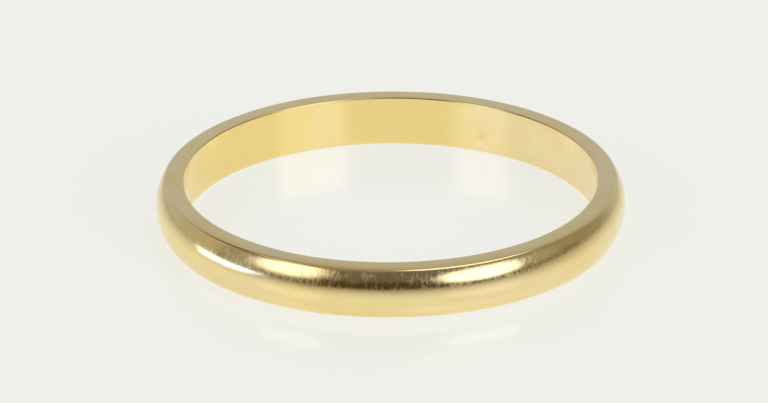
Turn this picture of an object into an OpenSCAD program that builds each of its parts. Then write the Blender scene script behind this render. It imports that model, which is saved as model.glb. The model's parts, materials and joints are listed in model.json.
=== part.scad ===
// Plain D-section wedding band: a strip of half-round gold bent into a ring, its two ends
// closed by one soldered joint.
//
// Frame: millimetres, origin at the centre of the finger bore, halfway across its width,
// +Z along the bore. The soldered joint lies on the -Y side.

/* [Band] */
// Inside diameter, which is the ring size (16.9 is US 6 1/2)
finger_d = 16.9; // [14:0.1:21]
// Width of the band along the finger
band_w = 2.1; // [1.8:0.1:3]
// Thickness from the bore to the crest of the dome
wall = 1.12; // [0.9:0.02:1.3]
// Height of the flat side walls, from the bore to the crease where the dome starts
side_h = 0.76; // [0.5:0.02:0.8]

/* [Edges] */
// Softening radius of the crease between each side wall and the dome
crease_r = 0.14; // [0.04:0.01:0.16]
// Softening radius of the two edges of the bore
bore_edge_r = 0.05; // [0.05:0.01:0.2]

/* [Soldered joint] */
// Gap between the ends of the strip, which the solder fills
joint_gap = 0.08; // [0.05:0.01:0.15]

/* [Hidden] */
$fn = 180;

bore_r = finger_d / 2;
crest_r = bore_r + wall;
half_w = band_w / 2;
dome_h = wall - side_h;
// The dome is one circular arc through both creases and the crest.
dome_r = (half_w * half_w + dome_h * dome_h) / (2 * dome_h);
dome_centre = crest_r - dome_r;
// Centre of the circle that softens the upper crease: it touches the side wall's plane and
// the dome's arc from inside.
crease_centre_z = half_w - crease_r;
crease_centre_r = dome_centre
    + sqrt(pow(dome_r - crease_r, 2) - crease_centre_z * crease_centre_z);
// Where the dome's arc runs into that circle.
crease_angle = asin(crease_centre_z / (dome_r - crease_r));
dome_end_r = dome_centre + dome_r * cos(crease_angle);
dome_end_z = dome_r * sin(crease_angle);
// How far a cutting shape reaches past the metal.
clear = 1;

// The section's straight-sided core, through the points where its arcs end.
module core() {
    polygon([
        [bore_r, bore_edge_r - half_w], [bore_r + bore_edge_r, -half_w],
        [crease_centre_r, -half_w], [dome_end_r, -dome_end_z],
        [dome_end_r, dome_end_z], [crease_centre_r, half_w],
        [bore_r + bore_edge_r, half_w], [bore_r, half_w - bore_edge_r]
    ]);
}

// The dome's bow, standing on the core's outer face.
module bow() {
    intersection() {
        translate([dome_centre, 0]) circle(dome_r);
        translate([dome_end_r, -half_w]) square([wall, band_w]);
    }
}

// The band's cross-section: core and bow, with a disc that rounds each of the four corners.
module section() {
    core();
    bow();
    for (side = [0, 1]) mirror([0, side]) {
        translate([crease_centre_r, crease_centre_z]) circle(crease_r);
        translate([bore_r + bore_edge_r, half_w - bore_edge_r]) circle(bore_edge_r);
    }
}

module whole_ring() {
    rotate_extrude() section();
}

// The gap between the strip's squared ends, reaching past the metal on every side.
module joint_slot() {
    translate([-joint_gap / 2, -crest_r - clear, -half_w - clear])
        cube([joint_gap, wall + 2 * clear, band_w + 2 * clear]);
}

// The bent strip, open at the joint.
module band() {
    color("gold") difference() {
        whole_ring();
        joint_slot();
    }
}

// The film of solder that fills the gap, dressed flush with the strip.
module solder_joint() {
    color("palegoldenrod") intersection() {
        whole_ring();
        joint_slot();
    }
}

band();
solder_joint();
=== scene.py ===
"""A plain D-section gold wedding band lying on a glossy pale surface under soft studio light.

Everything is in metres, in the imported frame: +Z along the finger bore, the soldered joint on -Y.
Angles round the finger ("around") start at the joint and turn towards +X.
"""

import json
import math
import random

import bpy
from mathutils import Matrix, Vector, noise


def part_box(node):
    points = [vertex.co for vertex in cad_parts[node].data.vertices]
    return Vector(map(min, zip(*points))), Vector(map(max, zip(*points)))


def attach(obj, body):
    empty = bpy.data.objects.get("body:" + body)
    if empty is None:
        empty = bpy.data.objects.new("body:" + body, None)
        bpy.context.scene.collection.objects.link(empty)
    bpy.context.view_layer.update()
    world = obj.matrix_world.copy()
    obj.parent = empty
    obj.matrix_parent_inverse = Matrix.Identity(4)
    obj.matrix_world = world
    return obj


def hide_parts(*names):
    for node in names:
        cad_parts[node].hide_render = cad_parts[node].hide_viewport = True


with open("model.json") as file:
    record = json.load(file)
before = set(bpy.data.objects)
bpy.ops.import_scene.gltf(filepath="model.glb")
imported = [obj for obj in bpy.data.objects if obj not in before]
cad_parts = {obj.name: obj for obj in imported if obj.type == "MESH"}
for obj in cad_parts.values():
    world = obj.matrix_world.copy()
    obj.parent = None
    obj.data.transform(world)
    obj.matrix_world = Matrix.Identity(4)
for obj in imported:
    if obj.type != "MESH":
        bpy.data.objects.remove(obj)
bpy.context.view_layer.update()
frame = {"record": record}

MM = 0.001

# Dimensions that the frame gives.
BAND_LOW, BAND_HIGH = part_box("band")
JOINT_LOW, JOINT_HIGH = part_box("solder_joint")
BORE_MOUNT = next(m for m in frame["record"]["mounts"] if m["name"] == "finger_bore")
BORE_R = BORE_MOUNT["dims"]["r_mm"] * MM
CREST_R = max(BAND_HIGH.x, BAND_HIGH.y)
HALF_W = BAND_HIGH.z
FLOOR_Z = BAND_LOW.z
JOINT_HALF_GAP = (JOINT_HIGH.x - JOINT_LOW.x) / 2

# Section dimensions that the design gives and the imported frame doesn't.
SIDE_H = 0.76 * MM
CREASE_R = 0.14 * MM
BORE_EDGE_R = 0.05 * MM

# How far polishing has rolled each side wall down where it meets the crease.
SIDE_ROLL = 0.014 * MM
SHOULDER_W = HALF_W - SIDE_ROLL

# How finely the ring is meshed, in steps along each part of its section and round the finger.
AROUND_STEPS = 900
JOINT_STEPS = 4
BORE_STEPS = 16
DOME_STEPS = 44
SIDE_STEPS = 9
EDGE_STEPS = 5


# ---------------------------------------------------------------- the ring's cross-section

def dome_arc():
    """(centre radius, arc radius, angle where the dome meets the crease) of the dome's arc."""
    height = CREST_R - BORE_R - SIDE_H
    arc_r = (SHOULDER_W ** 2 + height ** 2) / (2 * height)
    meet = math.asin((SHOULDER_W - CREASE_R) / (arc_r - CREASE_R))
    return CREST_R - arc_r, arc_r, meet


def arc(centre_r, centre_z, radius, start, end, steps, zone):
    """Section points along an arc, without its last point, as (r, z, normal r, normal z, zone)."""
    points = []
    for i in range(steps):
        a = start + (end - start) * i / steps
        nr, nz = math.cos(a), math.sin(a)
        points.append((centre_r + radius * nr, centre_z + radius * nz, nr, nz, zone))
    return points


def bore_wall(start_z, end_z, steps):
    """Section points down the bore, without the last point."""
    return [
        (BORE_R, start_z + (end_z - start_z) * i / steps, -1, 0, "bore") for i in range(steps)
    ]


def side_wall(inner_r, outer_r, up):
    """Section points of the side wall on one face (up is 1 or -1), from the bore outwards."""
    points = []
    for i in range(SIDE_STEPS + 1):
        t = i / SIDE_STEPS
        z = HALF_W - SIDE_ROLL * t ** 3
        points.append((inner_r + (outer_r - inner_r) * t, up * z, 0, up, "side"))
    return points


def section():
    """The closed section: from the bore's lower edge out, over the dome and down the bore."""
    centre, arc_r, meet = dome_arc()
    crease_z = SHOULDER_W - CREASE_R
    crease_c = centre + math.sqrt((arc_r - CREASE_R) ** 2 - crease_z ** 2)
    edge_c = BORE_R + BORE_EDGE_R
    edge_z = HALF_W - BORE_EDGE_R
    right = math.pi / 2
    return (
        arc(edge_c, -edge_z, BORE_EDGE_R, -2 * right, -right, EDGE_STEPS, "edge")
        + side_wall(edge_c, crease_c, -1)[:-1]
        + arc(crease_c, -crease_z, CREASE_R, -right, -meet, EDGE_STEPS, "edge")
        + arc(centre, 0, arc_r, -meet, meet, DOME_STEPS, "dome")
        + arc(crease_c, crease_z, CREASE_R, meet, right, EDGE_STEPS, "edge")
        + side_wall(edge_c, crease_c, 1)[:0:-1]
        + arc(edge_c, edge_z, BORE_EDGE_R, right, 2 * right, EDGE_STEPS, "edge")
        + bore_wall(edge_z, -edge_z, BORE_STEPS)
    )


SECTION = section()


def running_length(points):
    """Distance along the section to each point, and the whole way round."""
    lengths = [0.0]
    for a, b in zip(points, points[1:] + points[:1]):
        lengths.append(lengths[-1] + math.hypot(b[0] - a[0], b[1] - a[1]))
    return lengths


ACROSS = running_length(SECTION)


# ---------------------------------------------------------------- wear

class Dent:
    """A shallow hollow pressed into the surface, with a rough floor if worn is above 0."""

    def __init__(self, place, length, width, depth, worn=0.0):
        self.place, self.depth, self.worn = place, depth, worn
        self.length, self.width = length, width
        self.reach = 1.6 * max(length, width)

    def at(self, point):
        """(how deep, how worn) the dent leaves this point."""
        away = point - self.place
        if away.length > self.reach:
            return 0.0, 0.0
        round_finger = Vector((-self.place.y, self.place.x, 0)).normalized()
        u = away.dot(round_finger) / self.length
        v = (away - round_finger * away.dot(round_finger)).length / self.width
        ragged = 1 + 0.35 * noise.noise(point / (0.12 * MM))
        d = math.hypot(u, v) * ragged
        fall = max(0.0, 1 - d * d) ** 2
        return self.depth * fall, self.worn * fall


def on_dome(around, rise):
    """The place on the dome at these angles, in degrees: round the finger and up its arc."""
    centre, arc_r, _ = dome_arc()
    a, b = math.radians(around), math.radians(rise)
    r = centre + arc_r * math.cos(b)
    return Vector((r * math.sin(a), -r * math.cos(a), arc_r * math.sin(b)))


def in_bore(around, z):
    a = math.radians(around)
    return Vector((BORE_R * math.sin(a), -BORE_R * math.cos(a), z))


def scuff(rng, around, rise, count, size, worn):
    """Dings crowded into one place on the dome.

    around, rise, size and worn are each (least, most): degrees, degrees, millimetres and 0 to 1.
    """
    dents = []
    for _ in range(count):
        place = on_dome(rng.uniform(*around), rng.uniform(*rise))
        length = rng.uniform(*size) * MM
        depth = length * rng.uniform(0.002, 0.008)
        width = length * rng.uniform(0.5, 1)
        dents.append(Dent(place, length, width, depth, worn=rng.uniform(*worn)))
    return dents


def make_dents():
    """The soft mark in the bore, the dings of daily use, and the scuffed patches on the front."""
    rng = random.Random(12)
    bore_mark = Dent(in_bore(153, -0.32 * MM), 0.4 * MM, 0.34 * MM, 0.016 * MM, worn=0.6)
    return (
        [bore_mark]
        + scuff(rng, (-6.9, -4.9), (25, 32), 12, (0.14, 0.22), (0.35, 0.8))
        + scuff(rng, (31, 40), (20, 30), 8, (0.14, 0.24), (0.05, 0.15))
        + scuff(rng, (-56, -36), (22, 32), 30, (0.14, 0.26), (0.05, 0.25))
        + scuff(rng, (-180, 180), (-30, 30), 110, (0.15, 0.3), (0.0, 0.12))
        + scuff(rng, (1.5, 7), (23, 32), 12, (0.14, 0.22), (0.12, 0.4))
    )


DENTS = make_dents()


def waviness(point):
    """The slow unevenness that hand polishing leaves, as a height along the normal."""
    slow = noise.noise(point / (3.0 * MM))
    quick = noise.noise(point / (0.9 * MM) + Vector((7, 3, 5)))
    return 0.009 * MM * slow + 0.0018 * MM * quick


# Degrees round the finger: where the bore has yellowed, and the pale gap in the middle of that,
# which is a painted highlight where the bore mirrors a bright band.
YELLOW_FROM, YELLOW_TO, PAINTED_HIGHLIGHT_AT = 158, 310, 200
YELLOW_EDGE = 14


def tarnish_and_painted_highlight(place, zone):
    """How far the gold has yellowed: in faint patches, and most on the bore's rear and left, but
    for a pale gap there that is a painted highlight, where the bore mirrors a bright band.
    """
    patches = 0.3 + 0.4 * noise.noise(place / (3.5 * MM) + Vector((2, 8, 1)))
    if zone == "bore":
        around = math.degrees(math.atan2(place.x, -place.y)) % 360
        # The pale gap is a painted highlight: the gold is left less yellow where the bore mirrors a
        # bright band.
        inside = min(around - YELLOW_FROM, YELLOW_TO - around, 1.3 * abs(around - PAINTED_HIGHLIGHT_AT))
        patches += inside / YELLOW_EDGE
    return min(1.0, max(0.0, patches))


def scraped(entry):
    """How much fine scratches have dulled the gold here: most on the dome's upper shoulder."""
    _, z, _, _, zone = entry
    if zone == "dome":
        return 0.4 + 0.6 * min(1.0, max(0.0, z / (0.35 * MM)))
    return {"edge": 0.5, "side": 0.3, "bore": 0.15}[zone]


def dents_by_sector(sectors):
    """The dents that can reach each sector round the finger, so a point tests only a few."""
    table = [[] for _ in range(sectors)]
    for dent in DENTS:
        middle = math.atan2(dent.place.x, -dent.place.y)
        half = dent.reach / BORE_R
        first = math.floor((middle - half) / math.tau * sectors)
        last = math.floor((middle + half) / math.tau * sectors)
        for s in range(first, last + 1):
            table[s % sectors].append(dent)
    return table


# ---------------------------------------------------------------- meshes

SECTORS = 120
NEAR_DENTS = dents_by_sector(SECTORS)


def surface_point(entry, around):
    """The worn surface's place and wear at one section point, turned round the finger."""
    r, z, nr, nz, zone = entry
    s, c = math.sin(around), -math.cos(around)
    place = Vector((r * s, r * c, z))
    normal = Vector((nr * s, nr * c, nz))
    height = waviness(place) * (0.5 if zone == "side" else 1.0)
    worn = 0.0
    for dent in NEAR_DENTS[math.floor(around / math.tau * SECTORS) % SECTORS]:
        depth, rough = dent.at(place)
        height -= depth
        worn = max(worn, rough)
    return place + normal * height, worn


def sweep_faces(columns):
    """The faces between neighbouring sections, then the two flat ends."""
    count = len(SECTION)
    faces = []
    for i in range(columns):
        near, far = i * count, (i + 1) * count
        for k in range(count):
            n = (k + 1) % count
            faces.append((near + k, far + k, far + n, near + n))
    last = columns * count
    faces.append(tuple(range(count)))
    faces.append(tuple(range(last + count - 1, last - 1, -1)))
    return faces


def sharpen_ends(mesh):
    """Marks the edges round the two end faces sharp, so that the ends shade flat."""
    ends = mesh.polygons[-2:]
    rims = {tuple(sorted(key)) for end in ends for key in end.edge_keys}
    for edge in mesh.edges:
        if tuple(sorted(edge.vertices)) in rims:
            edge.use_edge_sharp = True


def ring_piece(name, angles, strip_rows):
    """A closed solid swept through these angles, with flat ends.

    Its attributes are strip, the place in millimetres round the finger and along the section,
    worn, tarnish, which is the yellowing together with a painted highlight on the bore's rear
    left, side, which is 1 on the two side walls, and scraped, which is how much daily use has
    dulled it. The surface is unrolled into strip_rows rows of the UV map, and
    the ends lie in the map's top corner.
    """
    verts, strip = [], []
    traits = {"worn": [], "tarnish_and_painted_highlight": [], "side": [], "scraped": []}
    for a in angles:
        for k, entry in enumerate(SECTION):
            place, rough = surface_point(entry, a)
            verts.append(place)
            strip.append((a * CREST_R / MM, ACROSS[k] / MM, 0.0))
            traits["worn"].append(rough)
            traits["tarnish_and_painted_highlight"].append(tarnish_and_painted_highlight(place, entry[4]))
            traits["side"].append(1.0 if entry[4] == "side" else 0.0)
            traits["scraped"].append(scraped(entry))

    mesh = bpy.data.meshes.new(name)
    mesh.from_pydata(verts, [], sweep_faces(len(angles) - 1))
    mesh.validate()
    mesh.update()
    mesh.shade_smooth()
    sharpen_ends(mesh)
    mesh.attributes.new("strip", "FLOAT_VECTOR", "POINT").data.foreach_set(
        "vector", [x for p in strip for x in p]
    )
    for trait, values in traits.items():
        mesh.attributes.new(trait, "FLOAT", "POINT").data.foreach_set("value", values)
    unroll(mesh, len(angles) - 1, strip_rows)

    piece = bpy.data.objects.new(name, mesh)
    bpy.context.collection.objects.link(piece)
    return piece


# The UV map: the gap round each row, and the height above which only the end faces lie.
UV_MARGIN = 0.006
UV_STRIP_TOP = 0.96


def unroll(mesh, columns, rows):
    """Lays the swept surface out as rows of one strip, so that every millimetre gets its share."""
    layer = mesh.uv_layers.new(name="OFBake")
    count = len(SECTION)
    total = ACROSS[-1]
    margin = UV_MARGIN
    row_height = UV_STRIP_TOP / rows
    per_row = math.ceil(columns / rows)
    uv = [0.0] * (2 * len(mesh.loops))
    for face in mesh.polygons[: columns * count]:
        i, k = divmod(face.index, count)
        row, column = divmod(i, per_row)
        corners = {
            i * count + k: (0, 0),
            (i + 1) * count + k: (1, 0),
            (i + 1) * count + (k + 1) % count: (1, 1),
            i * count + (k + 1) % count: (0, 1),
        }
        for loop in face.loop_indices:
            du, dv = corners[mesh.loops[loop].vertex_index]
            u = margin + (1 - 2 * margin) * (column + du) / per_row
            v = row_height * row + margin + (row_height - 2 * margin) * ACROSS[k + dv] / total
            uv[2 * loop], uv[2 * loop + 1] = u, v
    for end, face in enumerate(mesh.polygons[columns * count:]):
        for loop, entry in zip(face.loop_indices, SECTION):
            r, z = entry[:2]
            uv[2 * loop] = 0.02 + 0.05 * end + 0.03 * (r - BORE_R) / (CREST_R - BORE_R)
            uv[2 * loop + 1] = (1 + UV_STRIP_TOP) / 2 + 0.015 * z / HALF_W
    layer.data.foreach_set("uv", uv)


def make_band():
    """The strip, from the joint's +X face round to its -X face."""
    half = JOINT_HALF_GAP / CREST_R
    span = math.tau - 2 * half
    angles = [half + span * i / AROUND_STEPS for i in range(AROUND_STEPS + 1)]
    piece = ring_piece("band_polished_gold", angles, strip_rows=3)
    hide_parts("band")
    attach(piece, "root")
    return piece


def make_solder():
    """The solder film, dressed flush with the strip on either side of it."""
    half = JOINT_HALF_GAP / CREST_R
    angles = [-half + 2 * half * i / JOINT_STEPS for i in range(JOINT_STEPS + 1)]
    piece = ring_piece("solder_film", angles, strip_rows=1)
    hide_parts("solder_joint")
    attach(piece, "root")
    return piece


# ---------------------------------------------------------------- material nodes

class Nodes:
    """Short ways to add nodes to one tree."""

    def __init__(self, tree):
        self.tree = tree
        tree.nodes.clear()

    def add(self, kind, **values):
        node = self.tree.nodes.new(kind)
        for key, value in values.items():
            setattr(node, key, value)
        return node

    def link(self, source, target):
        self.tree.links.new(source, target)

    def feed(self, socket, value):
        if isinstance(value, bpy.types.NodeSocket):
            self.link(value, socket)
        elif value is not None:
            socket.default_value = value

    def math(self, operation, a, b=None, clamp=False):
        node = self.add("ShaderNodeMath", operation=operation, use_clamp=clamp)
        for socket, value in zip(node.inputs, (a, b)):
            self.feed(socket, value)
        return node.outputs[0]

    def ramp(self, value, low, high, to_low=0.0, to_high=1.0, smooth=True):
        node = self.add(
            "ShaderNodeMapRange",
            interpolation_type="SMOOTHSTEP" if smooth else "LINEAR",
        )
        for socket, v in zip(node.inputs, (value, low, high, to_low, to_high)):
            self.feed(socket, v)
        return node.outputs["Result"]

    def scaled(self, vector, scale, turn=0.0, shift=(0, 0, 0)):
        node = self.add("ShaderNodeMapping")
        self.link(vector, node.inputs["Vector"])
        node.inputs["Rotation"].default_value = (0, 0, math.radians(turn))
        node.inputs["Location"].default_value = shift
        node.inputs["Scale"].default_value = scale
        return node.outputs[0]

    def noise(self, vector, scale=1.0, detail=2.0, rough=0.5):
        node = self.add("ShaderNodeTexNoise")
        self.link(vector, node.inputs["Vector"])
        node.inputs["Scale"].default_value = scale
        node.inputs["Detail"].default_value = detail
        node.inputs["Roughness"].default_value = rough
        return node.outputs["Fac"]

    def blend(self, factor, a, b):
        node = self.add("ShaderNodeMix", data_type="RGBA")
        self.feed(node.inputs[0], factor)
        self.feed(node.inputs[6], a)
        self.feed(node.inputs[7], b)
        return node.outputs[2]

    def bump(self, height, distance, normal=None):
        node = self.add("ShaderNodeBump")
        node.inputs["Strength"].default_value = 1.0
        node.inputs["Distance"].default_value = distance
        self.link(height, node.inputs["Height"])
        if normal is not None:
            self.link(normal, node.inputs["Normal"])
        return node.outputs[0]

    def attribute(self, name, output="Fac"):
        return self.add("ShaderNodeAttribute", attribute_name=name).outputs[output]

    def sum(self, a, b):
        node = self.add("ShaderNodeAddShader")
        self.link(a, node.inputs[0])
        self.link(b, node.inputs[1])
        return node.outputs[0]

    def mix(self, factor, a, b):
        node = self.add("ShaderNodeMixShader")
        self.link(factor, node.inputs[0])
        self.link(a, node.inputs[1])
        self.link(b, node.inputs[2])
        return node.outputs[0]

    def surface(self, shader):
        self.link(shader, self.add("ShaderNodeOutputMaterial").inputs["Surface"])


WORN_TINT = (0.78, 0.66, 0.36, 1)


def gold(name, bright, deep, yellowed, polish):
    """Worn polished gold, from its bright, deep and yellowed tints and its unworn roughness."""
    material = bpy.data.materials.new(name)
    material.use_nodes = True
    n = Nodes(material.node_tree)
    strip = n.attribute("strip", "Vector")
    worn = n.attribute("worn")
    side = n.attribute("side")
    scraped = n.attribute("scraped")

    # Soft streaks across the band, mottling, lines round it, and sparse hairlines lying askew.
    streaks = n.noise(n.scaled(strip, (4.6, 0.9, 1)), detail=2)
    mottle = n.noise(n.scaled(strip, (6.5, 4.5, 1), shift=(3, 9, 0)), detail=2)
    scrapes = n.noise(n.scaled(strip, (7.5, 3.8, 1), shift=(8, 3, 0)), detail=2, rough=0.6)
    round_lines = n.noise(n.scaled(strip, (0.5, 26, 1), shift=(5, 1, 0)), detail=3)
    hair_a = n.noise(n.scaled(strip, (1.0, 22, 1), turn=62), detail=1)
    hair_b = n.noise(n.scaled(strip, (0.9, 20, 1), turn=-71, shift=(2, 6, 0)), detail=1)
    hairlines = n.math("MAXIMUM", n.ramp(hair_a, 0.66, 0.8), n.ramp(hair_b, 0.66, 0.8))
    cloud = n.noise(n.scaled(strip, (0.5, 0.7, 1), shift=(1, 4, 0)), detail=3)
    grain = n.noise(strip, scale=38, detail=2)

    rubbed = n.math("ADD", n.math("MULTIPLY", streaks, 0.6), n.math("MULTIPLY", mottle, 0.4))
    hazy = n.math("MULTIPLY", n.ramp(rubbed, 0.34, 0.7), scraped)
    scrapes = n.math("MULTIPLY", n.ramp(scrapes, 0.33, 0.76), scraped)
    hairlines = n.math("MULTIPLY", hairlines, scraped)
    tint = n.blend(n.ramp(cloud, 0.35, 0.68), bright, deep)
    tint = n.blend(n.math("MULTIPLY", n.math("MAXIMUM", hazy, hairlines), 0.12), tint, deep)
    # The tarnish attribute holds the yellowing and also a painted highlight, a paler strip on the
    # bore's rear left.
    tint = n.blend(n.attribute("tarnish_and_painted_highlight"), tint, yellowed)
    tint = n.blend(n.math("MULTIPLY", worn, 0.5), tint, WORN_TINT)

    rough = n.math("ADD", polish, n.ramp(cloud, 0.3, 0.7, 0.0, 0.03))
    rough = n.math("ADD", rough, n.math("MULTIPLY", hazy, 0.07))
    rough = n.math("ADD", rough, n.math("MULTIPLY", scrapes, 0.18))
    rough = n.math("ADD", rough, n.math("MULTIPLY", hairlines, 0.05))
    rough = n.math("ADD", rough, n.math("MULTIPLY", side, 0.07))
    rough = n.math("ADD", rough, n.math("MULTIPLY", worn, 0.3), clamp=True)

    normal = n.bump(streaks, 0.002 * MM)
    normal = n.bump(mottle, 0.0015 * MM, normal=normal)
    normal = n.bump(round_lines, 0.0002 * MM, normal=normal)
    normal = n.bump(hairlines, 0.0002 * MM, normal=normal)
    pitted = n.math("MULTIPLY", grain, n.math("ADD", worn, 0.01))
    normal = n.bump(pitted, 0.005 * MM, normal=normal)

    shader = n.add("ShaderNodeBsdfPrincipled")
    shader.inputs["Metallic"].default_value = 1.0
    n.link(tint, shader.inputs["Base Color"])
    n.link(rough, shader.inputs["Roughness"])
    n.link(normal, shader.inputs["Normal"])
    n.surface(shader.outputs[0])
    return material


# ---------------------------------------------------------------- the studio

FADE_FROM = 11.3 * MM


def floor_material():
    """White acrylic lit from beneath. From below it is clear, so that the underside shows."""
    material = bpy.data.materials.new("white_acrylic")
    material.use_nodes = True
    n = Nodes(material.node_tree)
    lit = n.add("ShaderNodeEmission")
    lit.inputs["Color"].default_value = (0.68, 0.69, 0.655, 1)
    white = n.add("ShaderNodeBsdfDiffuse")
    white.inputs["Color"].default_value = (0.28, 0.28, 0.265, 1)
    gloss = n.add("ShaderNodeBsdfGlossy")
    gloss.inputs["Color"].default_value = (0.06, 0.06, 0.06, 1)
    gloss.inputs["Roughness"].default_value = 0.14
    sheet = n.sum(n.sum(lit.outputs[0], white.outputs[0]), gloss.outputs[0])

    # The ring mirrors the sheet further off, where the light from beneath fades.
    place = n.add("ShaderNodeNewGeometry").outputs["Position"]
    length = n.add("ShaderNodeVectorMath", operation="LENGTH")
    n.link(place, length.inputs[0])
    away = length.outputs["Value"]
    split = n.add("ShaderNodeSeparateXYZ")
    n.link(place, split.inputs[0])
    in_front = n.ramp(n.math("DIVIDE", split.outputs["Y"], away), 0.0, -0.8, smooth=False)
    on_right = n.ramp(n.math("DIVIDE", split.outputs["X"], away), -0.5, 0.5)
    faded_side = n.blend(on_right, (0.40, 0.40, 0.38, 1), (0.48, 0.45, 0.35, 1))
    faded = n.add("ShaderNodeEmission")
    n.link(n.blend(in_front, faded_side, (0.08, 0.04, 0.01, 1)), faded.inputs["Color"])
    nearness = n.math("MINIMUM", n.math("DIVIDE", FADE_FROM, away), 1.0)
    fade = n.math("SUBTRACT", 1.0, n.math("POWER", nearness, 1.4))
    mirrored = n.add("ShaderNodeLightPath").outputs["Is Glossy Ray"]
    sheet = n.mix(n.math("MULTIPLY", fade, mirrored), sheet, faded.outputs[0])

    clear = n.add("ShaderNodeBsdfTransparent")
    back = n.add("ShaderNodeNewGeometry").outputs["Backfacing"]
    passed = n.add("ShaderNodeLightPath").outputs["Transparent Depth"]
    see_through = n.math("MAXIMUM", back, n.math("GREATER_THAN", passed, 0.5))
    n.surface(n.mix(see_through, sheet, clear.outputs[0]))
    return material


FLOOR_R = 4.0
FLOOR_SIDES = 96
FLOOR_GAP = 0.002 * MM


def make_floor():
    rim = []
    for i in range(FLOOR_SIDES):
        a = math.tau * i / FLOOR_SIDES
        rim.append((FLOOR_R * math.cos(a), FLOOR_R * math.sin(a), FLOOR_Z - FLOOR_GAP))
    mesh = bpy.data.meshes.new("floor")
    mesh.from_pydata(rim, [], [tuple(range(FLOOR_SIDES))])
    floor = bpy.data.objects.new("floor", mesh)
    bpy.context.collection.objects.link(floor)
    mesh.materials.append(floor_material())


class Sky:
    """The studio round the ring, as light by direction: 0 degrees is -Y and 90 is +X."""

    def __init__(self):
        world = bpy.data.worlds.new("studio")
        bpy.context.scene.world = world
        world.use_nodes = True
        self.n = Nodes(world.node_tree)
        n = self.n
        direction = n.add("ShaderNodeTexCoord").outputs["Generated"]
        split = n.add("ShaderNodeSeparateXYZ")
        n.link(direction, split.inputs[0])
        self.x, self.y, self.z = split.outputs
        to_degrees = 180 / math.pi
        turn = n.math("ARCTAN2", self.x, n.math("MULTIPLY", self.y, -1.0))
        self.around = n.math("MULTIPLY", turn, to_degrees)
        self.up = n.math("MULTIPLY", n.math("ARCSINE", self.z), to_degrees)
        self.colour = None

    def patch(self, around, up, half_width, half_height, soft, power=4.0):
        """1 inside a rounded rectangle of directions, falling to 0 outside it."""
        n = self.n
        away = n.math("ABSOLUTE", n.math("SUBTRACT", self.around, around))
        away = n.math("MINIMUM", away, n.math("SUBTRACT", 360.0, away))
        u = n.math("DIVIDE", away, half_width)
        v = n.math("DIVIDE", n.math("ABSOLUTE", n.math("SUBTRACT", self.up, up)), half_height)
        d = n.math("ADD", n.math("POWER", u, power), n.math("POWER", v, power))
        d = n.math("POWER", d, 1 / power)
        return n.ramp(d, 1 + soft, 1 - soft)

    def paint(self, mask, colour):
        """Lays a colour over what is there already, where the mask is 1."""
        rgba = (*colour, 1)
        if self.colour is None:
            self.colour = rgba
        else:
            self.colour = self.n.blend(mask, self.colour, rgba)

    def close(self, seen):
        """Makes the world. The camera itself sees the plain colour seen."""
        n = self.n
        camera = n.add("ShaderNodeLightPath").outputs["Is Camera Ray"]
        shown = n.blend(camera, self.colour, (*seen, 1))
        back = n.add("ShaderNodeBackground")
        n.link(shown, back.inputs["Color"])
        out = n.add("ShaderNodeOutputWorld")
        n.link(back.outputs[0], out.inputs["Surface"])


def make_studio():
    sky = Sky()
    n = sky.n
    # The walls: dim and warm at the sides, with paler and darker patches, and pale behind.
    sky.paint(None, (0.30, 0.27, 0.21))
    sky.paint(n.ramp(sky.y, 0.05, -0.3), (0.25, 0.23, 0.185))
    sky.paint(sky.patch(90, 6, 12, 5, 0.4), (0.19, 0.175, 0.135))
    sky.paint(sky.patch(80, 20, 8, 11, 0.5), (0.37, 0.35, 0.28))
    sky.paint(sky.patch(61, 1, 13, 6, 0.4), (0.13, 0.11, 0.075))
    sky.paint(sky.patch(-117, 30, 24, 50, 0.25), (0.48, 0.45, 0.39))
    sky.paint(sky.patch(-75, 16, 10, 16, 0.5), (0.335, 0.33, 0.30))
    behind = n.ramp(sky.y, 0.45, 0.85)
    sky.paint(behind, (0.52, 0.535, 0.57))
    sky.paint(n.math("MULTIPLY", behind, n.ramp(sky.up, 23, 36)), (0.38, 0.355, 0.31))
    # The dark opening where the camera stands.
    sky.paint(sky.patch(-6, 14, 44, 42, 0.3), (0.145, 0.13, 0.112))
    sky.paint(sky.patch(-4, 5, 34, 12.5, 0.35), (0.065, 0.045, 0.02))
    # The tent's ceiling: dim, with a darker band low on the left, a small lit panel above that,
    # and a wide lit panel on the right.
    sky.paint(n.ramp(sky.up, 44, 58), (0.30, 0.28, 0.25))
    sky.paint(sky.patch(-112, 48, 46, 9, 0.2), (0.17, 0.145, 0.10))
    sky.paint(sky.patch(-88, 59, 20, 6, 0.4), (1.1, 1.02, 0.85))
    sky.paint(sky.patch(82, 76, 66, 21.5, 0.1), (1.35, 1.35, 1.3))
    # The two soft boxes, the right-hand one with a raised corner.
    sky.paint(sky.patch(57, 24, 8.5, 9, 0.3, power=3), (2.05, 2.03, 2.2))
    sky.paint(sky.patch(44.5, 20, 20.5, 15, 0.24, power=2.2), (2.05, 2.03, 2.2))
    sky.paint(sky.patch(-52.5, 28.5, 16.5, 17.5, 0.38, power=2.2), (1.85, 1.84, 1.98))
    # Below the horizon, for views from underneath.
    sky.paint(n.ramp(sky.up, -1, -8), (0.85, 0.85, 0.82))
    sky.close(seen=(0.86, 0.87, 0.82))


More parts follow.
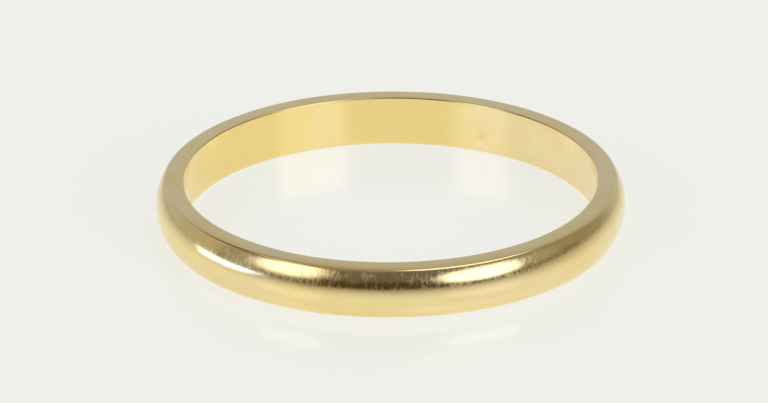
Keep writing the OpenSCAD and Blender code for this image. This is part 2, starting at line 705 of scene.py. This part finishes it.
def make_side_card():
    """The bright reflector left of the ring, just outside the picture. Only the ring mirrors it."""
    corners = [(-13.8, -4.2), (-51.0, 5.1), (-44.6, -29.2), (-10.9, -11.3)]
    height = FLOOR_Z + 0.02 * MM
    mesh = bpy.data.meshes.new("side_card")
    mesh.from_pydata([(x * MM, y * MM, height) for x, y in corners], [], [(0, 1, 2, 3)])
    piece = bpy.data.objects.new("side_card", mesh)
    bpy.context.collection.objects.link(piece)

    material = bpy.data.materials.new("side_card")
    material.use_nodes = True
    n = Nodes(material.node_tree)
    split = n.add("ShaderNodeSeparateXYZ")
    n.link(n.add("ShaderNodeNewGeometry").outputs["Position"], split.inputs[0])
    across = n.math("DIVIDE", split.outputs["Y"], split.outputs["X"])
    glow = n.add("ShaderNodeEmission")
    glow.inputs["Color"].default_value = (0.90, 1.02, 1.52, 1)
    n.link(n.ramp(across, 0.95, 0.55, 0.4, 2.2), glow.inputs["Strength"])
    clear = n.add("ShaderNodeBsdfTransparent")
    facing = n.add("ShaderNodeNewGeometry").outputs["Backfacing"]
    n.surface(n.mix(facing, glow.outputs[0], clear.outputs[0]))
    mesh.materials.append(material)
    piece.visible_camera = False
    piece.visible_diffuse = False
    piece.visible_shadow = False
    piece.visible_transmission = False


def make_camera():
    """A long lens, 23.5 degrees above the ring's plane and rolled a third of a degree."""
    distance = 253.1 * MM
    rise = math.radians(23.53)
    back = Vector((0, -math.cos(rise), math.sin(rise)))
    side = Vector((1, 0, 0))
    above = back.cross(side)
    aim = side * (-0.2745 * MM) - above * (0.0233 * MM)
    data = bpy.data.cameras.new("camera")
    data.lens = 290.4
    data.sensor_width = 36
    data.clip_start = 0.01
    data.clip_end = 20
    camera = bpy.data.objects.new("camera", data)
    bpy.context.collection.objects.link(camera)
    place = back * distance
    look = (aim - place).to_track_quat("-Z", "Y").to_matrix().to_4x4()
    roll = Matrix.Rotation(math.radians(-0.312), 4, "Z")
    camera.matrix_world = Matrix.Translation(place) @ look @ roll
    bpy.context.scene.camera = camera


bpy.context.scene.view_settings.view_transform = "Standard"
make_camera()
make_floor()
make_studio()
make_side_card()
band = make_band()
band.data.materials.append(gold(
    "polished_gold",
    bright=(0.95, 0.79, 0.445, 1),
    deep=(0.935, 0.755, 0.385, 1),
    yellowed=(0.95, 0.75, 0.30, 1),
    polish=0.065,
))
solder = make_solder()
solder.data.materials.append(gold(
    "solder_gold",
    bright=(0.945, 0.79, 0.455, 1),
    deep=(0.93, 0.755, 0.395, 1),
    yellowed=(0.945, 0.75, 0.31, 1),
    polish=0.07,
))
